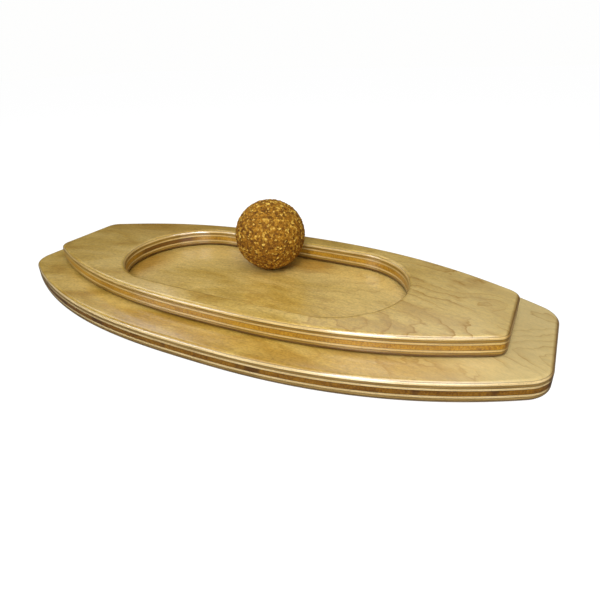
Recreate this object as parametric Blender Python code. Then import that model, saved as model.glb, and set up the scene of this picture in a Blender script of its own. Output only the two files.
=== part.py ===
"""Balance board with a cork ball, lying upside down: a boat-shaped plywood deck with its tread face on the
ground, a smaller plywood frame glued on top of it, and a cork ball that rolls in the frame's oval opening.

Metres, +Z up. X runs along the board and Y across it. The origin is the middle of the tread face, so z = 0
is the ground. Each panel is a stack of glued plies, and every ply is an object of its own.
"""

import math

import bmesh
import bpy

# Overall sizes
DECK_LENGTH = 0.700
DECK_WIDTH = 0.316
DECK_END_WIDTH = 0.133
DECK_CORNER_RADIUS = 0.037

FRAME_LENGTH = 0.615
FRAME_WIDTH = 0.241
FRAME_END_WIDTH = 0.0986
FRAME_CORNER_RADIUS = 0.016

# The oval opening: two end arcs joined by two long, nearly straight side arcs
OVAL_LENGTH = 0.386
OVAL_WIDTH = 0.183
OVAL_END_RADIUS = 0.0902

# How fast the sides draw in towards the ends: 2 is a parabola, more keeps the middle wider
SIDE_FULLNESS = 2.5

# Ply thicknesses from one face of a panel to the other
FACE_VENEER = 0.0014
LIGHT_PLY = 0.0026
TAN_PLY = 0.0027
PALE_PLY = 0.0025
CORE_PLY = 0.0056
PLY_STACK = (
    FACE_VENEER, LIGHT_PLY, TAN_PLY, PALE_PLY, CORE_PLY, PALE_PLY, TAN_PLY, LIGHT_PLY, FACE_VENEER,
)
PANEL_THICKNESS = sum(PLY_STACK)

# Every edge of a panel is rounded over, and glue lines are left as fine gaps
EDGE_ROUND = 0.005
EDGE_STEPS = 2
GLUE_GAP = 0.0003

# The ball stands on the deck inside the opening, off-centre towards one side wall
BALL_DIAMETER = 0.0935
BALL_X = -0.009
BALL_Y = 0.0500
BALL_SEGMENTS = 40
BALL_RINGS = 20

# Points per quarter of an outline
SIDE_POINTS = 11
CORNER_POINTS = 5
OVAL_END_POINTS = 12
OVAL_SIDE_POINTS = 3

# Colour, roughness and coat of each material
LOOKS = {
    "birch_face": ((0.66, 0.49, 0.24), 0.34),
    "birch_light": ((0.70, 0.54, 0.30), 0.38),
    "birch_tan": ((0.42, 0.26, 0.10), 0.42),
    "birch_core": ((0.36, 0.20, 0.05), 0.42),
    "cork": ((0.32, 0.18, 0.07), 0.85),
}
STACK_SLOTS = (
    "birch_face", "birch_light", "birch_tan", "birch_light", "birch_core",
    "birch_light", "birch_tan", "birch_light", "birch_face",
)


def clear_scene():
    for ob in list(bpy.data.objects):
        bpy.data.objects.remove(ob, do_unlink=True)
    for col in list(bpy.data.collections):
        bpy.data.collections.remove(col)


def make_collections():
    parts = bpy.data.collections.new("balance_board")
    cutters = bpy.data.collections.new("cutters")
    for col in (parts, cutters):
        bpy.context.scene.collection.children.link(col)
    return parts, cutters


def make_materials():
    made = {}
    for name, (colour, roughness) in LOOKS.items():
        mat = bpy.data.materials.new(name)
        mat.use_nodes = True
        shader = mat.node_tree.nodes["Principled BSDF"]
        shader.inputs["Base Color"].default_value = (*colour, 1.0)
        shader.inputs["Roughness"].default_value = roughness
        shader.inputs["Metallic"].default_value = 0.0
        mat.diffuse_color = (*colour, 1.0)
        made[name] = mat
    return made


def arc_points(centre, radius, start, stop, steps):
    """Points on an arc, both ends included."""
    points = []
    for i in range(steps + 1):
        angle = start + (stop - start) * i / steps
        points.append((centre[0] + radius * math.cos(angle), centre[1] + radius * math.sin(angle)))
    return points


def mirrored(quarter):
    """A closed outline from its first quarter, which runs from the +X end to the +Y side."""
    top = quarter + [(-x, y) for x, y in reversed(quarter)]
    loop = top + [(x, -y) for x, y in reversed(top)]
    kept = []
    for point in loop:
        if not kept or math.dist(point, kept[-1]) > 1e-6:
            kept.append(point)
    if math.dist(kept[0], kept[-1]) < 1e-6:
        kept.pop()
    return kept


def boat_outline(length, width, end_width, corner_radius):
    """Convex sides that draw in towards straight ends, with rounded corners."""
    half = length / 2

    def side(x):
        return width / 2 - (width - end_width) / 2 * (abs(x) / half) ** SIDE_FULLNESS

    def slope(x):
        return -(width - end_width) / 2 * SIDE_FULLNESS * (x / half) ** (SIDE_FULLNESS - 1) / half

    def centre_y(x):
        """Height of a circle centre one corner radius inside the side curve at x, and its x."""
        run = math.hypot(1.0, slope(x))
        return x + slope(x) / run * corner_radius, side(x) - corner_radius / run

    # the corner arc touches the side where its centre is also one radius inside the end
    low, high = half * 0.5, half
    for _ in range(60):
        middle = (low + high) / 2
        if centre_y(middle)[0] > half - corner_radius:
            high = middle
        else:
            low = middle
    touch = (low + high) / 2
    centre = centre_y(touch)
    lean = math.atan2(1.0, -slope(touch))
    quarter = arc_points(centre, corner_radius, 0.0, lean, CORNER_POINTS)
    quarter += [(touch * (1 - i / SIDE_POINTS), side(touch * (1 - i / SIDE_POINTS)))
                for i in range(1, SIDE_POINTS + 1)]
    return mirrored(quarter)


def oval_outline(length, width, end_radius):
    """Four arcs that run into one another: small ones at the ends, wide flat ones along the sides."""
    a, b = length / 2, width / 2
    reach = a - end_radius
    side_radius = (reach ** 2 + b ** 2 - end_radius ** 2) / (2 * (b - end_radius))
    meet = math.atan2(side_radius - b, reach)
    quarter = arc_points((reach, 0.0), end_radius, 0.0, meet, OVAL_END_POINTS)
    quarter += arc_points((0.0, b - side_radius), side_radius, meet, math.pi / 2, OVAL_SIDE_POINTS)[1:]
    return mirrored(quarter)


def add_spline(curve, points):
    spline = curve.splines.new("POLY")
    spline.points.add(len(points) - 1)
    for target, (x, y) in zip(spline.points, points):
        target.co = (x, y, 0.0, 1.0)
    spline.use_cyclic_u = True


def panel_mesh(name, outlines, base):
    """A panel with rounded edges on the outlines, as a closed mesh whose underside is at base."""
    curve = bpy.data.curves.new(name + "_outline", "CURVE")
    curve.dimensions = "2D"
    curve.fill_mode = "BOTH"
    curve.extrude = PANEL_THICKNESS / 2 - EDGE_ROUND
    curve.bevel_depth = EDGE_ROUND
    curve.bevel_resolution = EDGE_STEPS
    curve.offset = -EDGE_ROUND
    for points in outlines:
        add_spline(curve, points)
    drawn = bpy.data.objects.new(name + "_outline", curve)
    bpy.context.scene.collection.objects.link(drawn)
    bpy.context.view_layer.update()
    placed = drawn.evaluated_get(bpy.context.evaluated_depsgraph_get())
    mesh = bpy.data.meshes.new_from_object(placed)
    mesh.transform(drawn.matrix_world)
    bpy.data.objects.remove(drawn, do_unlink=True)
    work = bmesh.new()
    work.from_mesh(mesh)
    bmesh.ops.remove_doubles(work, verts=work.verts, dist=0.00001)
    bmesh.ops.translate(work, verts=work.verts, vec=(0.0, 0.0, base + PANEL_THICKNESS / 2))
    bmesh.ops.recalc_face_normals(work, faces=work.faces)
    work.to_mesh(mesh)
    work.free()
    return mesh


def slab(name, low, high, cutters):
    """A flat box that is wider than any panel, from low to high."""
    work = bmesh.new()
    bmesh.ops.create_cube(work, size=1.0)
    bmesh.ops.scale(work, verts=work.verts, vec=(DECK_LENGTH * 1.3, DECK_WIDTH * 1.6, high - low))
    bmesh.ops.translate(work, verts=work.verts, vec=(0.0, 0.0, (low + high) / 2))
    mesh = bpy.data.meshes.new(name)
    work.to_mesh(mesh)
    work.free()
    ob = bpy.data.objects.new(name, mesh)
    ob.hide_render = True
    ob.display_type = "WIRE"
    cutters.objects.link(ob)
    return ob


def make_plies(panel, outlines, base, parts, cutters, materials):
    """Slice a rounded panel into its plies, with a glue gap between one and the next."""
    whole = panel_mesh(panel, outlines, base)
    low = base
    for number, (thickness, slot) in enumerate(zip(PLY_STACK, STACK_SLOTS), start=1):
        high = low + thickness
        first, last = number == 1, number == len(PLY_STACK)
        cut_low = low - 0.01 if first else low + GLUE_GAP / 2
        cut_high = high + 0.01 if last else high - GLUE_GAP / 2
        ply = bpy.data.objects.new(f"{panel}_ply_{number}", whole.copy())
        parts.objects.link(ply)
        cutter = slab(f"{panel}_slab_{number}", cut_low, cut_high, cutters)
        cut = ply.modifiers.new("slice", "BOOLEAN")
        cut.operation = "INTERSECT"
        cut.solver = "EXACT"
        cut.object = cutter
        ply.data.materials.clear()
        ply.data.materials.append(materials[slot])
        low = high
    bpy.data.meshes.remove(whole)


def make_ball(parts, materials):
    """The cork ball, standing on the deck."""
    radius = BALL_DIAMETER / 2
    mesh = bpy.data.meshes.new("cork_ball")
    work = bmesh.new()
    bmesh.ops.create_uvsphere(work, u_segments=BALL_SEGMENTS, v_segments=BALL_RINGS, radius=radius)
    work.to_mesh(mesh)
    work.free()
    for face in mesh.polygons:
        face.use_smooth = True
    ball = bpy.data.objects.new("cork_ball", mesh)
    ball.location = (BALL_X, BALL_Y, PANEL_THICKNESS + GLUE_GAP + radius)
    mesh.materials.append(materials["cork"])
    parts.objects.link(ball)
    return ball


def main():
    clear_scene()
    parts, cutters = make_collections()
    materials = make_materials()
    deck = [boat_outline(DECK_LENGTH, DECK_WIDTH, DECK_END_WIDTH, DECK_CORNER_RADIUS)]
    frame = [
        boat_outline(FRAME_LENGTH, FRAME_WIDTH, FRAME_END_WIDTH, FRAME_CORNER_RADIUS),
        oval_outline(OVAL_LENGTH, OVAL_WIDTH, OVAL_END_RADIUS),
    ]
    make_plies("deck", deck, 0.0, parts, cutters, materials)
    make_plies("frame", frame, PANEL_THICKNESS + GLUE_GAP, parts, cutters, materials)
    make_ball(parts, materials)


main()
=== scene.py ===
import math

import bpy
from mathutils import Matrix, Vector


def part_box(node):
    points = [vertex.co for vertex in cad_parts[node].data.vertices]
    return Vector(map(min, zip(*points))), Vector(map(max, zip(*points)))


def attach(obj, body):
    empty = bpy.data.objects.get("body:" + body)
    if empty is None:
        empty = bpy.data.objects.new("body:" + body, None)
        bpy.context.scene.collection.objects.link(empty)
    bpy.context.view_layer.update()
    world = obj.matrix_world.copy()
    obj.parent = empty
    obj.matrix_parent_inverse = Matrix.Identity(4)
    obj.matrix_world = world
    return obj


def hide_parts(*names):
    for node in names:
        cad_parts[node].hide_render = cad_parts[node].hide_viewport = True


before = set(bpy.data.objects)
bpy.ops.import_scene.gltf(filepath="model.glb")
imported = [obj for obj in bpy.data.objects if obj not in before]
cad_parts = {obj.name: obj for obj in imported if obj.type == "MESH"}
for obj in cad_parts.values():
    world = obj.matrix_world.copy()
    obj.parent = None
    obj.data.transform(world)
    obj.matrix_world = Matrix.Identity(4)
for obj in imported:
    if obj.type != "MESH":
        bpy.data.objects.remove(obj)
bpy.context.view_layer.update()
print("frame loaded:", len(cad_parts), "nodes")


# small helpers for selecting and modes
def deselectAll():
    if bpy.context.object and bpy.context.object.mode != "OBJECT":
        bpy.ops.object.mode_set(mode="OBJECT")
    bpy.ops.object.select_all(action="DESELECT")


def makeActive(ob):
    deselectAll()
    ob.select_set(True)
    bpy.context.view_layer.objects.active = ob


def editMode(kind="FACE"):
    bpy.ops.object.mode_set(mode="EDIT")
    bpy.ops.mesh.select_mode(type=kind)


def objectMode():
    bpy.ops.object.mode_set(mode="OBJECT")


def selectAllInside():
    bpy.ops.mesh.select_all(action="SELECT")


def clearSelection(mesh):
    for part in (mesh.vertices, mesh.edges, mesh.polygons):
        part.foreach_set("select", [False] * len(part))


# small helpers for building materials
def newMaterial(name):
    mat = bpy.data.materials.new(name)
    mat.use_nodes = True
    tree = mat.node_tree
    return mat, tree, tree.nodes["Principled BSDF"]


def addNode(tree, kind, **values):
    node = tree.nodes.new(kind)
    for key, value in values.items():
        setattr(node, key, value)
    return node


def setSockets(node, values):
    for socket, value in values.items():
        node.inputs[socket].default_value = value


def asColour(value):
    if isinstance(value, (int, float)):
        return (value, value, value, 1.0)
    return (*value, 1.0)


def feed(tree, socket, given):
    # a socket takes either a link or a plain value
    if isinstance(given, bpy.types.NodeSocket):
        tree.links.new(given, socket)
    elif socket.type == "RGBA":
        socket.default_value = asColour(given)
    else:
        socket.default_value = given


def objectPoint(tree):
    return addNode(tree, "ShaderNodeTexCoord").outputs["Object"]


def axes(tree, point):
    parts = addNode(tree, "ShaderNodeSeparateXYZ")
    tree.links.new(point, parts.inputs[0])
    return parts.outputs[:3]


def stretched(tree, source, scale, place=(0, 0, 0)):
    # a point on the wood, stretched along the grain
    node = addNode(tree, "ShaderNodeMapping")
    setSockets(node, {"Scale": scale, "Location": place})
    tree.links.new(source, node.inputs["Vector"])
    return node.outputs["Vector"]


def noise(tree, vector, scale, detail, roughness=0.55, distortion=0.0):
    node = addNode(tree, "ShaderNodeTexNoise")
    setSockets(node, {"Scale": scale, "Detail": detail, "Roughness": roughness,
                      "Distortion": distortion})
    tree.links.new(vector, node.inputs["Vector"])
    return node.outputs["Fac"]


def woodNoise(tree, point, shift, layer):
    stretch, *rest = layer
    return noise(tree, stretched(tree, point, stretch, shift), *rest)


def ramp(tree, value, stops, smooth=False):
    node = addNode(tree, "ShaderNodeValToRGB")
    bar = node.color_ramp
    if smooth:
        bar.interpolation = "EASE"
    while len(bar.elements) > 1:
        bar.elements.remove(bar.elements[-1])
    bar.elements[0].position = stops[0][0]
    bar.elements[0].color = asColour(stops[0][1])
    for place, colour in stops[1:]:
        bar.elements.new(place).color = asColour(colour)
    tree.links.new(value, node.inputs["Fac"])
    return node.outputs["Color"]


def mixColour(tree, how, amount, a, b):
    node = addNode(tree, "ShaderNodeMix", data_type="RGBA", blend_type=how)
    for socket, given in ((node.inputs[0], amount), (node.inputs[6], a), (node.inputs[7], b)):
        feed(tree, socket, given)
    return node.outputs[2]


def maths(tree, how, a, b=0.0):
    node = addNode(tree, "ShaderNodeMath", operation=how)
    feed(tree, node.inputs[0], a)
    feed(tree, node.inputs[1], b)
    return node.outputs[0]


def spanned(tree, value, fromLow, fromHigh, toLow, toHigh):
    # carries a value from one span to another and holds it at the ends
    node = addNode(tree, "ShaderNodeMapRange", clamp=True)
    tree.links.new(value, node.inputs["Value"])
    setSockets(node, {"From Min": fromLow, "From Max": fromHigh, "To Min": toLow,
                      "To Max": toHigh})
    return node.outputs[0]


def setRoughness(tree, shader, value, span):
    smoothest, roughest = span
    rough = ramp(tree, value, [(0.3, smoothest), (0.7, roughest)])
    tree.links.new(rough, shader.inputs["Roughness"])


def seedPlace(seed, steps):
    # each sheet of wood is read at its own place in the pattern
    return tuple(seed * step for step in steps)


def bump(tree, height, distance, strength):
    node = addNode(tree, "ShaderNodeBump")
    setSockets(node, {"Strength": strength, "Distance": distance})
    tree.links.new(height, node.inputs["Height"])
    return node.outputs["Normal"]


# the birch veneer on the flat faces
veneer = {
    "pale": (0.64, 0.445, 0.128),       # open, light wood
    "honey": (0.53, 0.345, 0.070),      # usual ground colour
    "amber": (0.42, 0.245, 0.036),      # darker streaks
    "line": (0.33, 0.165, 0.020),       # growth lines
    "sheenTint": (0.69, 0.56, 0.29),     # painted sheen: the colour one end of the board is painted towards, paler and whiter where the lacquer mirrors light
    "endGrainAndShade": (0.42, 0.31, 0.18),     # what the cut ends leave of the colour: end grain, with painted shade
    "endReach": (0.0046, 0.0018),       # where the dark of a cut end starts and is full
    "endDepth": 0.85,
    "shadeTint": (0.74, 0.60, 0.36),       # what a patch of painted shade leaves of the colour, darker and more amber
    "rings": 7.5,                       # growth lines from the lowest wood to the highest
    "sweep": 0.45,                      # how far the grain arcs along a panel
    "wanderBy": 0.035,                  # and how far it wanders
    "slowShare": 0.7,                   # how much the slow height bends the growth lines
    "kinkShare": 0.16,                  # and how much the kinks do
    "leanFrom": 0.06,                   # the far side's painted paler tone (painted light) is counted from here
    "seedSteps": (1.7, 0.9, 0.4),
    "toneStops": (0.30, 0.45, 0.66),    # where amber, honey and pale stand in the clouds
    "shadeStops": (0.28, 0.50, 0.74),
    # how dark and how pale each finer layer goes
    "shades": {"streaks": (0.88, 1.08), "fibres": (0.82, 1.14), "mottle": (0.76, 1.18)},
    "sheenScale": 2.5,
    "sheenStops": (0.25, 0.80),
    "lineStops": [(0.0, 0.0), (0.07, 0.95), (0.15, 0.38), (0.50, 0.0)],
    "faintStops": [(0.36, 0.15), (0.60, 1.0)],
    "faintPlace": (3.3, 0.2),
    "fibreShare": 0.5,                  # how much the fibres stand out beside the streaks
    "roughness": (0.31, 0.42),
    "lacquer": {"Coat Weight": 1.0, "Coat IOR": 1.72, "Coat Roughness": 0.18,
                "Specular IOR Level": 0.30, "IOR": 1.42},
    "grainRelief": (0.00012, 0.5),      # depth and strength
    "rippleRelief": (0.00020, 0.30),
}

# each layer: stretch along and across the grain, scale, detail, roughness, distortion
veneerLayers = {
    "clouds": ((7, 16, 16), 1.6, 3, 0.55, 0.6),
    "streaks": ((16, 130, 130), 1.4, 4, 0.6, 0.3),
    "fibres": ((110, 520, 520), 1.2, 3, 0.65),
    "mottle": ((240, 330, 330), 1.4, 3, 0.6),
    "slow": ((6, 11, 11), 1.2, 2, 0.5, 0.4),
    "kinks": ((34, 52, 52), 1.2, 2, 0.6),
    "faint": ((7, 16, 16), 1.3, 2, 0.5),
    "wander": ((4, 7, 7), 1.0, 2),
    "ripple": ((45, 90, 90), 1.0, 2, 0.5),
}

# eyes are where growth lines close round on themselves: x, y, half length, half width, rise
# figure: from x, to x, how strong the lines are there; lean: painted light, the far side
# painted paler and the near side darker to even out how the lamps fall off
# patches of painted shade, amber-tinted: in the corner of the opening, beside the ball where
# its shadow falls and where the lamps fall off, given as the eyes are
veneerSheets = {
    "deck": {"seed": 3.0, "lean": 1.7, "paintedSheen": 0.60, "figure": (-0.2, 0.32, 0.12, 0.62),
             "eyes": [(0.405, -0.030, 0.13, 0.07, 0.8), (-0.02, 0.09, 0.26, 0.12, 1.0),
                      (-0.33, -0.10, 0.2, 0.08, 0.8)],
             "shadePatches": [(0.23, -0.115, 0.09, 0.05, 0.7), (-0.195, -0.015, 0.055, 0.065, 1.7),
                      (0.030, 0.078, 0.055, 0.032, 1.8)]},
    "frame": {"seed": 2.0, "lean": 0.0, "paintedSheen": 0.42, "figure": (-0.1, 0.20, 0.14, 0.95),
              "eyes": [(0.165, -0.085, 0.19, 0.13, 1.0), (0.2775, 0.012, 0.030, 0.022, 0.25),
                       (-0.31, 0.03, 0.22, 0.07, 0.8)],
              "shadePatches": [(-0.22, 0.085, 0.16, 0.07, 0.8)]},
}


def sweptGrain(tree, point, shift):
    # the grain runs along the board in a long arc and wanders a little
    x, y, z = axes(tree, point)
    arc = maths(tree, "MULTIPLY", maths(tree, "MULTIPLY", x, x), veneer["sweep"])
    wander = woodNoise(tree, point, shift, veneerLayers["wander"])
    wander = maths(tree, "MULTIPLY", wander, veneer["wanderBy"])
    whole = addNode(tree, "ShaderNodeCombineXYZ")
    moved = maths(tree, "ADD", y, maths(tree, "ADD", arc, wander))
    for socket, given in zip(whole.inputs, (x, moved, z)):
        tree.links.new(given, socket)
    return whole.outputs[0]


def figureEye(tree, point, x, y, halfLength, halfWidth, rise):
    # a cone over an oval spot: 0 at its rim, highest in its middle
    node = addNode(tree, "ShaderNodeTexGradient", gradient_type="SPHERICAL")
    place = stretched(tree, point, (1 / halfLength, 1 / halfWidth, 0),
                      (-x / halfLength, -y / halfWidth, 0))
    tree.links.new(place, node.inputs["Vector"])
    return maths(tree, "MULTIPLY", node.outputs["Fac"], rise)


def darkEnds(tree, point, colour, half):
    # end grain at the two cut ends soaks up lacquer and goes brown; the same darkening is also
    # painted shade on the end faces, which turn away from the lamps
    start, full = veneer["endReach"]
    alongBoard = maths(tree, "ABSOLUTE", axes(tree, point)[0])
    amount = spanned(tree, alongBoard, half - start, half - full, 0.0, veneer["endDepth"])
    return mixColour(tree, "MULTIPLY", amount, colour, veneer["endGrainAndShade"])


def growthLines(tree, point, grain, shift, sheet):
    # level lines of a slow height with eyes in it, sharp on one side, kinked here and there
    slow = woodNoise(tree, grain, shift, veneerLayers["slow"])
    kinks = woodNoise(tree, grain, shift, veneerLayers["kinks"])
    height = maths(tree, "ADD", maths(tree, "MULTIPLY", slow, veneer["slowShare"]),
                   maths(tree, "MULTIPLY", kinks, veneer["kinkShare"]))
    for eyeValues in sheet["eyes"]:
        height = maths(tree, "ADD", height, figureEye(tree, point, *eyeValues))
    rings = maths(tree, "FRACT", maths(tree, "MULTIPLY", height, veneer["rings"]))
    lines = ramp(tree, rings, veneer["lineStops"])
    along, across = veneer["faintPlace"]
    faint = woodNoise(tree, point, (sheet["seed"] + along, across, 0), veneerLayers["faint"])
    faint = ramp(tree, faint, veneer["faintStops"])
    # the figure is strong at one end of the board and faint at the other
    reach = spanned(tree, axes(tree, point)[0], *sheet["figure"])
    return maths(tree, "MULTIPLY", mixColour(tree, "MULTIPLY", 1.0, lines, faint), reach)


def birchVeneer(name, sheet, half):
    mat, tree, shader = newMaterial(name)
    point = objectPoint(tree)
    shift = seedPlace(sheet["seed"], veneer["seedSteps"])
    grain = sweptGrain(tree, point, shift)
    # broad clouds of tone, then streaks, short fibres and a fine mottle
    clouds = woodNoise(tree, grain, shift, veneerLayers["clouds"])
    fine = {layer: woodNoise(tree, grain, shift, veneerLayers[layer])
            for layer in veneer["shades"]}
    x, y, _ = axes(tree, point)
    # painted light: the veneer is painted paler towards the far side and darker towards the
    # near side
    fromNear = maths(tree, "ADD", y, veneer["leanFrom"])
    clouds = maths(tree, "ADD", clouds, maths(tree, "MULTIPLY", fromNear, sheet["lean"]))
    tones = (veneer["amber"], veneer["honey"], veneer["pale"])
    colour = ramp(tree, clouds, list(zip(veneer["toneStops"], tones)))
    for layer, (low, high) in veneer["shades"].items():
        shade = ramp(tree, fine[layer], list(zip(veneer["shadeStops"], (low, 1.0, high))))
        colour = mixColour(tree, "MULTIPLY", 1.0, colour, shade)
    # painted sheen: towards one end the veneer is painted paler and whiter, as a reflection of
    # the lamps
    towardsEnd = maths(tree, "MULTIPLY", x, veneer["sheenScale"])
    paintedSheen = ramp(tree, towardsEnd, list(zip(veneer["sheenStops"], (0.0, sheet["paintedSheen"]))),
                  smooth=True)
    colour = mixColour(tree, "MIX", paintedSheen, colour, veneer["sheenTint"])
    lines = growthLines(tree, point, grain, shift, sheet)
    colour = mixColour(tree, "MIX", lines, colour, veneer["line"])
    # painted shade: amber-tinted darker patches where shadow and the lamps' fall-off would
    # darken the wood
    for patch in sheet["shadePatches"]:
        colour = mixColour(tree, "MULTIPLY", figureEye(tree, point, *patch), colour,
                           veneer["shadeTint"])
    colour = darkEnds(tree, point, colour, half)
    tree.links.new(colour, shader.inputs["Base Color"])
    setRoughness(tree, shader, fine["streaks"], veneer["roughness"])
    setSockets(shader, veneer["lacquer"])
    raised = maths(tree, "MULTIPLY", fine["fibres"], veneer["fibreShare"])
    relief = maths(tree, "ADD", raised, fine["streaks"])
    tree.links.new(bump(tree, relief, *veneer["grainRelief"]), shader.inputs["Normal"])
    ripple = woodNoise(tree, point, shift, veneerLayers["ripple"])
    tree.links.new(bump(tree, ripple, *veneer["rippleRelief"]), shader.inputs["Coat Normal"])
    return mat


# the plies as they show on the cut edges
panel = {
    "plies": (0.0014, 0.0026, 0.0027, 0.0025, 0.0056, 0.0025, 0.0027, 0.0026, 0.0014),
    "kinds": ("under", "under", "tan", "light", "core", "light", "tan", "light", "face"),
    "slots": ("birch_face", "birch_light", "birch_tan", "birch_light", "birch_core",
              "birch_light", "birch_tan", "birch_light", "birch_face"),
    "edgeRound": 0.005,
    "roundSteps": 12,
    "flatBorder": 0.0006,  # width of the fine border round each flat face
    "glueLine": 0.00025,
    "rimPoints": 320,      # points round an outline, a multiple of four
    "fullness": 2.5,       # how late the sides draw in towards the ends
    "smoothUnder": 35,     # degrees
    "searchSteps": 60,     # halvings to find where a corner meets its side
    "endPart": 10,         # one point in ten lies on the straight end
    "cornerPart": 4,       # and one in four on the corner
    "wallBelow": 0.5,      # a face is a wall where its normal rises less than this
    "flatAbove": 0.9999,   # and flat where it rises more than this
    "sameLevel": 1e-6,
}
panelThickness = sum(panel["plies"])

edge = {
    "coreGrain": ((300, 300, 260), 1.6, 5, 0.65, 0.2),
    "grain": ((14, 14, 420), 1.6, 5, 0.65, 0.2),
    "drift": ((14, 14, 60), 1.5, 3, 0.5),
    "pores": ((620, 500, 620), 1.0, 2, 0.5),
    "burnt": ((26, 30, 20), 1.0, 2, 0.6),
    "seedSteps": (2.3, 1.1, 3.1),
    "burntSteps": (1.9, 0.7, 0),
    "toneStops": (0.34, 0.50, 0.66),    # where dark, mid and pale stand
    "grainShare": 0.6,
    "driftShare": 0.4,
    "speckStops": [(0.30, 0.62), (0.46, 1.0)],
    "speckDepth": 0.5,
    "poreShare": 0.6,                   # how much the pores stand out beside the grain
    "burntStops": [(0.57, 0.0), (0.63, 1.0)],
    "knotStops": [(0.02, 0.0), (0.40, 0.88)],
    "burntColour": (0.060, 0.020, 0.003),
    "burntDepth": 0.75,
    "knotColour": (0.105, 0.034, 0.003),
    "seamHalfWidth": 0.00042,   # glue seams between the plies
    "seamShade": 0.38,
    "footShadow": 0.0009,             # painted shadow: dark line where a panel stands on what is below it
    # cut edges soak the lacquer up, the dark plies most of all
    "coat": {"light": 0.95, "tan": 0.60, "core": 0.40, "under": 0.30},
    "lacquer": {"Coat IOR": 1.72, "Coat Roughness": 0.16, "IOR": 1.42},
    "roughness": (0.33, 0.46),
    "relief": (0.00015, 0.4),
}

# patches: how much of the core is burnt dark; knots: dark places, given as the veneer's eyes
plyEdge = {
    "deck": {
        "light": {"dark": (0.53, 0.37, 0.15), "mid": (0.73, 0.54, 0.25),
                  "pale": (0.83, 0.65, 0.35)},
        "tan": {"dark": (0.18, 0.10, 0.020), "mid": (0.29, 0.175, 0.045),
                "pale": (0.40, 0.26, 0.08)},
        "core": {"dark": (0.06, 0.020, 0.001), "mid": (0.205, 0.084, 0.003),
                 "pale": (0.34, 0.16, 0.008), "patches": 1.0},
        # painted shade: the lower rounding is painted dark, as it faces down and sees little
        # light
        "under": {"dark": (0.14, 0.085, 0.030), "mid": (0.24, 0.155, 0.065),
                  "pale": (0.36, 0.25, 0.12)},
    },
    "frame": {
        "light": {"dark": (0.46, 0.30, 0.090), "mid": (0.62, 0.42, 0.140),
                  "pale": (0.74, 0.53, 0.21)},
        "tan": {"dark": (0.19, 0.095, 0.010), "mid": (0.30, 0.165, 0.022),
                "pale": (0.41, 0.25, 0.050)},
        "core": {"dark": (0.23, 0.095, 0.004), "mid": (0.45, 0.225, 0.012),
                 "pale": (0.58, 0.33, 0.028), "patches": 0.2,
                 "knots": [(-0.185, 0.035, 0.060, 0.060, 1.0)]},
        # painted shade: the lowest plies are painted dark where the frame meets the deck, as a
        # shadow line along the contact
        "under": {"dark": (0.08, 0.030, 0.003), "mid": (0.16, 0.070, 0.008),
                  "pale": (0.27, 0.14, 0.020)},
    },
}


def seamsAndFootShadow(tree, point, low):
    # dark lines at the levels where one ply meets the next, and a painted shadow line at the
    # panel's foot
    above = maths(tree, "SUBTRACT", axes(tree, point)[2], low)
    share = maths(tree, "MULTIPLY", above, 1 / panelThickness)
    half = edge["seamHalfWidth"] / panelThickness
    # painted shadow: the lowest strip is darkened where the panel stands on what is below it
    stops = [(0.0, edge["seamShade"]), (edge["footShadow"] / panelThickness, 1.0)]
    level = 0.0
    for thick in panel["plies"][:-1]:
        level += thick / panelThickness
        stops += [(level - half, 1.0), (level, edge["seamShade"]), (level + half, 1.0)]
    return ramp(tree, share, stops)


def darkSpots(tree, point, colour, look, seed):
    # dark lengths where the core veneer is burnt or knotty
    if "patches" in look:
        burnt = woodNoise(tree, point, seedPlace(seed, edge["burntSteps"]), edge["burnt"])
        amount = ramp(tree, burnt, edge["burntStops"])
        amount = maths(tree, "MULTIPLY", amount, look["patches"])
        amount = maths(tree, "MULTIPLY", amount, edge["burntDepth"])
        colour = mixColour(tree, "MIX", amount, colour, edge["burntColour"])
    for knot in look.get("knots", []):
        dark = ramp(tree, figureEye(tree, point, *knot), edge["knotStops"])
        colour = mixColour(tree, "MIX", dark, colour, edge["knotColour"])
    return colour


def birchEdge(name, look, coat, seed, low, half):
    mat, tree, shader = newMaterial(name)
    point = objectPoint(tree)
    shift = seedPlace(seed, edge["seedSteps"])
    grain = woodNoise(tree, point, shift, edge["coreGrain" if "patches" in look else "grain"])
    drift = woodNoise(tree, point, shift, edge["drift"])
    pores = woodNoise(tree, point, shift, edge["pores"])
    tone = maths(tree, "ADD", maths(tree, "MULTIPLY", grain, edge["grainShare"]),
                 maths(tree, "MULTIPLY", drift, edge["driftShare"]))
    tones = (look["dark"], look["mid"], look["pale"])
    colour = ramp(tree, tone, list(zip(edge["toneStops"], tones)))
    specks = ramp(tree, pores, edge["speckStops"])
    colour = mixColour(tree, "MULTIPLY", edge["speckDepth"], colour, specks)
    colour = mixColour(tree, "MULTIPLY", 1.0, colour, seamsAndFootShadow(tree, point, low))
    colour = darkSpots(tree, point, colour, look, seed)
    colour = darkEnds(tree, point, colour, half)
    tree.links.new(colour, shader.inputs["Base Color"])
    setRoughness(tree, shader, grain, edge["roughness"])
    setSockets(shader, {"Coat Weight": coat, **edge["lacquer"]})
    relief = maths(tree, "ADD", grain, maths(tree, "MULTIPLY", pores, edge["poreShare"]))
    tree.links.new(bump(tree, relief, *edge["relief"]), shader.inputs["Normal"])
    return mat


def panelFinish(name, low, half):
    title = f"birch{name.capitalize()}"
    finish = {"face": birchVeneer(f"{title}Veneer", veneerSheets[name], half)}
    for number, (kind, look) in enumerate(plyEdge[name].items(), start=1):
        finish[kind] = birchEdge(f"{title}{kind.capitalize()}", look, edge["coat"][kind],
                                 number, low, half)
    return finish


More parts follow.
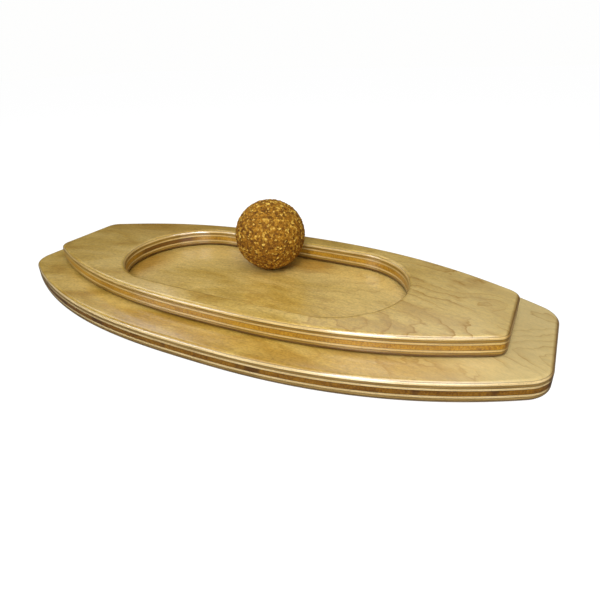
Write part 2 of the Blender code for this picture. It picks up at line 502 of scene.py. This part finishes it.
# shapes of the two panels
deckShape = {"length": 0.700, "width": 0.316, "endWidth": 0.133, "corner": 0.037}
frameShape = {"length": 0.615, "width": 0.241, "endWidth": 0.0986, "corner": 0.016}
ovalShape = {"length": 0.386, "width": 0.183, "endRadius": 0.0902, "endShare": 0.62}


def boatSide(shape, x):
    # half the board's width at x, and how fast it changes there
    half, fullness = shape["length"] / 2, panel["fullness"]
    draw = (shape["width"] - shape["endWidth"]) / 2
    width = shape["width"] / 2 - draw * (abs(x) / half) ** fullness
    slope = -draw * fullness * (x / half) ** (fullness - 1) / half
    return width, slope


def cornerCentre(shape, x):
    # centre of a corner arc that touches the side at x
    width, slope = boatSide(shape, x)
    run = math.hypot(1.0, slope)
    return x + slope / run * shape["corner"], width - shape["corner"] / run


def boatQuarter(shape, steps):
    # one quarter: half the straight end, the corner arc, then the side up to the middle
    half, corner = shape["length"] / 2, shape["corner"]
    low, high = half * 0.5, half
    for _ in range(panel["searchSteps"]):
        touch = (low + high) / 2
        if cornerCentre(shape, touch)[0] > half - corner:
            high = touch
        else:
            low = touch
    touch = (low + high) / 2
    cx, cy = cornerCentre(shape, touch)
    lean = math.atan2(1.0, -boatSide(shape, touch)[1])
    endSteps, cornerSteps = steps // panel["endPart"], steps // panel["cornerPart"]
    sideSteps = steps - endSteps - cornerSteps
    points = [(half, cy * i / endSteps) for i in range(endSteps)]
    for i in range(cornerSteps):
        angle = lean * i / cornerSteps
        points.append((cx + corner * math.cos(angle), cy + corner * math.sin(angle)))
    for i in range(sideSteps):
        x = touch * (1 - i / sideSteps)
        points.append((x, boatSide(shape, x)[0]))
    return points, (0.0, shape["width"] / 2)


def ovalQuarter(shape, steps):
    # a small end arc that runs into a wide flat side arc
    a, b, end = shape["length"] / 2, shape["width"] / 2, shape["endRadius"]
    reach = a - end
    side = (reach ** 2 + b ** 2 - end ** 2) / (2 * (b - end))
    meet = math.atan2(side - b, reach)
    endSteps = int(steps * shape["endShare"])
    points = []
    for i in range(endSteps):
        angle = meet * i / endSteps
        points.append((reach + end * math.cos(angle), end * math.sin(angle)))
    for i in range(steps - endSteps):
        angle = meet + (math.pi / 2 - meet) * i / (steps - endSteps)
        points.append((side * math.cos(angle), b - side + side * math.sin(angle)))
    return points, (0.0, b)


def wholeOutline(quarter):
    # the quarter holds its first point and not its last, so the four join without doubles
    points, top = quarter
    loop = list(points)
    loop.append(top)
    loop += [(-x, y) for x, y in reversed(points[1:])]
    loop.append((-points[0][0], 0.0))
    loop += [(-x, -y) for x, y in points[1:]]
    loop.append((0.0, -top[1]))
    loop += [(x, -y) for x, y in reversed(points[1:])]
    return loop


def shapedRing(name, outline, z):
    # a circle pushed out to the outline, point by point
    deselectAll()
    bpy.ops.mesh.primitive_circle_add(vertices=len(outline), radius=1.0, location=(0, 0, 0))
    ring = bpy.context.object
    ring.name = name
    turn = sorted(ring.data.vertices,
                  key=lambda v: math.atan2(v.co.y, v.co.x) % (2 * math.pi))
    for vert, (x, y) in zip(turn, outline):
        vert.co = (x, y, z)
    return ring


def selectRims(mesh):
    # rims: level edges between a flat face and an upright wall
    walls = {tuple(sorted(key)) for face in mesh.polygons
             if abs(face.normal.z) < panel["wallBelow"] for key in face.edge_keys}
    clearSelection(mesh)
    for line in mesh.edges:
        a, b = (mesh.vertices[i].co for i in line.vertices)
        level = abs(a.z - b.z) < panel["sameLevel"]
        line.select = level and tuple(sorted(line.key)) in walls


def selectFlats(mesh):
    clearSelection(mesh)
    for face in mesh.polygons:
        face.select = abs(face.normal.z) > panel["flatAbove"]


def roundedPanel(name, outlines, low):
    # filled inside the outline, or between the outline and the opening, then raised
    rings = [shapedRing(f"{name}Ring{i}", outline, low) for i, outline in enumerate(outlines)]
    makeActive(rings[0])
    for ring in rings[1:]:
        ring.select_set(True)
        bpy.ops.object.join()
    body = bpy.context.object
    body.name = name
    editMode("EDGE")
    selectAllInside()
    if len(rings) > 1:
        bpy.ops.mesh.bridge_edge_loops()
    else:
        bpy.ops.mesh.edge_face_add()
    selectAllInside()
    bpy.ops.mesh.extrude_region_move(TRANSFORM_OT_translate={"value": (0, 0, panelThickness)})
    selectAllInside()
    bpy.ops.mesh.normals_make_consistent(inside=False)
    objectMode()

    selectRims(body.data)
    editMode("EDGE")
    bpy.ops.mesh.bevel(offset=panel["edgeRound"], segments=panel["roundSteps"], profile=0.5,
                       affect="EDGES", clamp_overlap=False)
    objectMode()
    # a fine border on each flat face keeps it flat up to the rounding
    selectFlats(body.data)
    editMode("FACE")
    bpy.ops.mesh.inset(thickness=panel["flatBorder"], use_boundary=True)
    objectMode()
    print(name, "rounded:", len(body.data.polygons), "faces")
    return body


def cutPly(body, name, low, high):
    # what lies between two levels of the rounded panel, closed again
    ply = body.copy()
    ply.data = body.data.copy()
    ply.name = name
    ply.data.name = name
    bpy.context.scene.collection.objects.link(ply)
    makeActive(ply)
    for level, above in ((low, False), (high, True)):
        if level is None:
            continue
        editMode("FACE")
        selectAllInside()
        bpy.ops.mesh.bisect(plane_co=(0, 0, level), plane_no=(0, 0, 1), use_fill=True,
                            clear_outer=above, clear_inner=not above)
        objectMode()
    editMode("FACE")
    selectAllInside()
    bpy.ops.mesh.normals_make_consistent(inside=False)
    objectMode()
    bpy.ops.object.shade_smooth_by_angle(angle=math.radians(panel["smoothUnder"]))
    return ply


def makePanel(node, outlines, low, materials):
    body = roundedPanel(node, outlines, low)
    gap = panel["glueLine"] / 2
    level = low
    count = len(panel["plies"])
    plies = zip(panel["plies"], panel["kinds"], panel["slots"])
    for number, (thick, kind, slot) in enumerate(plies, start=1):
        bottom = None if number == 1 else level + gap
        top = None if number == count else level + thick - gap
        ply = cutPly(body, f"{node}Ply{number}", bottom, top)
        ply.data.materials.clear()
        ply.data.materials.append(materials[kind])
        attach(ply, "board")
        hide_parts(f"{node}_ply_{number}")
        level += thick
    bpy.data.objects.remove(body, do_unlink=True)
    print(node, "sliced into", count, "plies")


# the cork ball
ball = {
    "detail": 7,
    "granule": 0.0026,        # usual size of a cork granule
    "seamDepth": 0.00018,
    "pitDepth": 0.0005,
    "pitSize": 0.0030,
    "pitBrightness": 0.62,
    "pitContrast": 4.0,
    "wobble": 0.0018,         # how far the granules' outlines are bent
    # each pattern: scale, detail, roughness
    "bend": (330, 3, 0.6),
    "crumbs": (900, 4, 0.7),
    "holes": (420, 2, 0.5),
    "seamStops": [(0.0, 0.55), (0.10, 1.0)],
    "crumbStops": [(0.32, 0.62), (0.5, 1.0), (0.7, 1.2)],
    "holeStops": [(0.29, 1.0), (0.36, 0.0)],
    # colours of the granules, from the rarest dark ones to the rarest pale ones
    "granules": [(0.0, (0.13, 0.046, 0.003)), (0.3, (0.27, 0.110, 0.007)),
                 (0.62, (0.38, 0.165, 0.010)), (0.84, (0.52, 0.268, 0.026)),
                 (1.0, (0.82, 0.54, 0.10))],
    "pitColour": (0.045, 0.016, 0.004),
    "pitShade": 0.85,
    "roughness": (0.72, 0.9),
    "shine": 0.15,
    "relief": (0.0008, 0.6),
}


def bentPoint(tree, point):
    # nudges the place a pattern is read at, so that its cells aren't straight-sided
    wobble = noise(tree, point, *ball["bend"])
    lift = addNode(tree, "ShaderNodeCombineXYZ")
    for socket in lift.inputs[:3]:
        tree.links.new(wobble, socket)
    spread = addNode(tree, "ShaderNodeVectorMath", operation="SCALE")
    setSockets(spread, {"Scale": ball["wobble"]})
    tree.links.new(lift.outputs[0], spread.inputs[0])
    bent = addNode(tree, "ShaderNodeVectorMath", operation="ADD")
    tree.links.new(point, bent.inputs[0])
    tree.links.new(spread.outputs[0], bent.inputs[1])
    return bent.outputs[0]


def granules(tree, point, feature, output):
    node = addNode(tree, "ShaderNodeTexVoronoi", feature=feature)
    setSockets(node, {"Scale": 1 / ball["granule"]})
    tree.links.new(point, node.inputs["Vector"])
    return node.outputs[output]


def corkMaterial():
    mat, tree, shader = newMaterial("pressedCork")
    point = objectPoint(tree)
    bent = bentPoint(tree, point)
    grey = addNode(tree, "ShaderNodeSeparateColor")
    tree.links.new(granules(tree, bent, "F1", "Color"), grey.inputs[0])
    colour = ramp(tree, grey.outputs[0], ball["granules"])
    seams = ramp(tree, granules(tree, bent, "DISTANCE_TO_EDGE", "Distance"), ball["seamStops"])
    colour = mixColour(tree, "MULTIPLY", 1.0, colour, seams)
    crumbs = noise(tree, point, *ball["crumbs"])
    colour = mixColour(tree, "MULTIPLY", 1.0, colour, ramp(tree, crumbs, ball["crumbStops"]))
    pits = ramp(tree, noise(tree, point, *ball["holes"]), ball["holeStops"])
    pits = maths(tree, "MULTIPLY", pits, ball["pitShade"])
    colour = mixColour(tree, "MIX", pits, colour, ball["pitColour"])
    tree.links.new(colour, shader.inputs["Base Color"])
    setRoughness(tree, shader, crumbs, ball["roughness"])
    setSockets(shader, {"Specular IOR Level": ball["shine"]})
    tree.links.new(bump(tree, crumbs, *ball["relief"]), shader.inputs["Normal"])
    return mat


def makeBall():
    low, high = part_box("cork_ball")
    centre, radius = (low + high) / 2, (high.z - low.z) / 2
    deselectAll()
    bpy.ops.mesh.primitive_ico_sphere_add(subdivisions=ball["detail"], radius=radius,
                                          location=centre)
    cork = bpy.context.object
    cork.name = "corkBall"
    bpy.ops.object.transform_apply(location=True, rotation=True, scale=True)
    # granules stand slightly proud of the seams between them, and some have fallen out
    seams = bpy.data.textures.new("corkSeams", "VORONOI")
    seams.noise_scale = ball["granule"]
    seams.weight_1, seams.weight_2 = -1.0, 1.0
    pits = bpy.data.textures.new("corkPits", "CLOUDS")
    pits.noise_scale = ball["pitSize"]
    pits.noise_depth = 1
    pits.intensity, pits.contrast = ball["pitBrightness"], ball["pitContrast"]
    for texture, strength in ((seams, ball["seamDepth"]), (pits, ball["pitDepth"])):
        push = cork.modifiers.new(texture.name, "DISPLACE")
        push.texture = texture
        push.texture_coords = "LOCAL"
        push.direction = "NORMAL"
        push.strength = strength
        push.mid_level = 1.0
        bpy.ops.object.modifier_apply(modifier=push.name)
    bpy.ops.object.shade_smooth()
    cork.data.materials.append(corkMaterial())
    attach(cork, "ball")
    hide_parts("cork_ball")
    print("cork ball:", len(cork.data.polygons), "faces")


# floor, light and camera
studio = {
    "floorSize": 14.0,
    "floorDrop": 0.0002,       # keeps the floor just clear of the deck
    "floorColour": 0.14,
    "floorNear": 0.88,         # glow of the floor under the board
    "floorFar": 0.985,         # and away from it, as pale as the backdrop
    "floorSpot": (1.1, 1.6, 0),
    "floorBounce": (0.60, 0.57, 0.50),
    "floorMirrored": (0.10, 0.09, 0.08),
    "skyColour": (1.0, 1.0, 0.995),
    "skySeen": 0.99,
    "skyForLight": 0.04,       # even light from all round
    "skyForGloss": 0.01,       # what the lacquer mirrors where no lamp is
    # each lamp: turned from straight ahead, height, width, tall, distance, power
    "lamps": {
        "keyLight": (50, 62, 0.80, 0.70, 1.25, 8.2),
        "frontLight": (15, 43, 0.60, 0.66, 2.00, 17.5),
        "rightLight": (45, 27, 0.50, 0.40, 1.25, 3.0),
        "leftLight": (-46, 31, 0.80, 0.66, 2.00, 7.4),
        "sideLight": (-112, 40, 0.70, 0.50, 1.25, 1.7),
        "backLight": (190, 46, 0.90, 0.90, 1.80, 1.9),
    },
    # tall cards that only show in the lacquer
    "cards": {
        "frontCard": (15, 32, 0.60, 1.90, 1.60, 18.0),
        "leftCard": (-46, 46, 0.60, 1.60, 1.60, 5.0),
    },
}

eye = {
    "place": (0.31842, -0.47766, 0.29148),
    "yaw": -0.49600,           # turned left of straight ahead
    "pitch": 0.47800,          # looking down
    "roll": -0.03400,
    "film": 36.0,
    "lens": 29.13054,
    "clip": (0.01, 50.0),
}


def makeFloor():
    deselectAll()
    bpy.ops.mesh.primitive_plane_add(size=studio["floorSize"],
                                     location=(0, 0, -studio["floorDrop"]))
    ground = bpy.context.object
    ground.name = "studioFloor"
    mat, tree, shader = newMaterial("paleFloor")
    tree.nodes.remove(shader)
    # seen straight on it is pale, with a faint shadow; it throws little light back up
    rays = addNode(tree, "ShaderNodeLightPath")
    spread = addNode(tree, "ShaderNodeTexGradient", gradient_type="QUADRATIC_SPHERE")
    tree.links.new(stretched(tree, objectPoint(tree), studio["floorSpot"]),
                   spread.inputs["Vector"])
    level = spanned(tree, spread.outputs["Fac"], 0.0, 1.0, studio["floorFar"],
                    studio["floorNear"])
    glow = addNode(tree, "ShaderNodeEmission")
    tree.links.new(level, glow.inputs["Strength"])
    matte = addNode(tree, "ShaderNodeBsdfDiffuse")
    setSockets(matte, {"Color": asColour(studio["floorColour"])})
    seen = addNode(tree, "ShaderNodeAddShader")
    tree.links.new(glow.outputs[0], seen.inputs[0])
    tree.links.new(matte.outputs[0], seen.inputs[1])
    dull = addNode(tree, "ShaderNodeBsdfDiffuse")
    thrown = mixColour(tree, "MIX", rays.outputs["Is Glossy Ray"], studio["floorBounce"],
                       studio["floorMirrored"])
    tree.links.new(thrown, dull.inputs["Color"])
    pick = addNode(tree, "ShaderNodeMixShader")
    tree.links.new(rays.outputs["Is Camera Ray"], pick.inputs[0])
    tree.links.new(dull.outputs[0], pick.inputs[1])
    tree.links.new(seen.outputs[0], pick.inputs[2])
    tree.links.new(pick.outputs[0], tree.nodes["Material Output"].inputs["Surface"])
    ground.data.materials.append(mat)


def mixLevel(tree, amount, a, b):
    node = addNode(tree, "ShaderNodeMix", data_type="FLOAT")
    for socket, given in ((node.inputs[0], amount), (node.inputs[2], a), (node.inputs[3], b)):
        feed(tree, socket, given)
    return node.outputs[0]


def makeSky():
    world = bpy.data.worlds.new("paleStudio")
    bpy.context.scene.world = world
    world.use_nodes = True
    tree = world.node_tree
    shade = tree.nodes["Background"]
    rays = addNode(tree, "ShaderNodeLightPath")
    even = mixLevel(tree, rays.outputs["Is Glossy Ray"], studio["skyForLight"],
                    studio["skyForGloss"])
    seen = mixLevel(tree, rays.outputs["Is Camera Ray"], even, studio["skySeen"])
    setSockets(shade, {"Color": asColour(studio["skyColour"])})
    tree.links.new(seen, shade.inputs["Strength"])


def softbox(name, turn, height, wide, tall, away, power, onlyGloss=False):
    lamp = bpy.data.lights.new(name, "AREA")
    lamp.shape = "RECTANGLE"
    lamp.size, lamp.size_y = wide, tall
    lamp.energy = power
    ob = bpy.data.objects.new(name, lamp)
    bpy.context.scene.collection.objects.link(ob)
    turn, height = math.radians(turn), math.radians(height)
    ob.location = away * Vector((math.sin(turn) * math.cos(height),
                                 -math.cos(turn) * math.cos(height), math.sin(height)))
    ob.rotation_euler = (-ob.location).to_track_quat("-Z", "Y").to_euler()
    ob.visible_diffuse = not onlyGloss


def makeCamera():
    yaw, pitch, roll = eye["yaw"], eye["pitch"], eye["roll"]
    ahead = Vector((math.sin(yaw) * math.cos(pitch), math.cos(yaw) * math.cos(pitch),
                    -math.sin(pitch)))
    right = Vector((math.cos(yaw), -math.sin(yaw), 0.0))
    up = right.cross(ahead)
    across = math.cos(roll) * right + math.sin(roll) * up
    upright = -math.sin(roll) * right + math.cos(roll) * up
    lens = bpy.data.cameras.new("eye")
    lens.sensor_width, lens.lens = eye["film"], eye["lens"]
    lens.clip_start, lens.clip_end = eye["clip"]
    camera = bpy.data.objects.new("eye", lens)
    bpy.context.scene.collection.objects.link(camera)
    turn = Matrix((across, upright, -ahead)).transposed().to_4x4()
    camera.matrix_world = Matrix.Translation(eye["place"]) @ turn
    bpy.context.scene.camera = camera


makeCamera()
makeFloor()
makeSky()
for lampName, values in studio["lamps"].items():
    softbox(lampName, *values)
for cardName, values in studio["cards"].items():
    softbox(cardName, *values, onlyGloss=True)
bpy.context.scene.view_settings.view_transform = "Standard"
print("studio ready")

quarterSteps = panel["rimPoints"] // 4
deckOutline = wholeOutline(boatQuarter(deckShape, quarterSteps))
frameOutline = wholeOutline(boatQuarter(frameShape, quarterSteps))
ovalOutline = wholeOutline(ovalQuarter(ovalShape, quarterSteps))
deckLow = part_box("deck_ply_1")[0].z
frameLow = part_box("frame_ply_1")[0].z

deckFinish = panelFinish("deck", deckLow, deckShape["length"] / 2)
frameFinish = panelFinish("frame", frameLow, frameShape["length"] / 2)
print("finishes ready")
makePanel("deck", [deckOutline], deckLow, deckFinish)
makePanel("frame", [frameOutline, ovalOutline], frameLow, frameFinish)
makeBall()

bpy.context.view_layer.update()
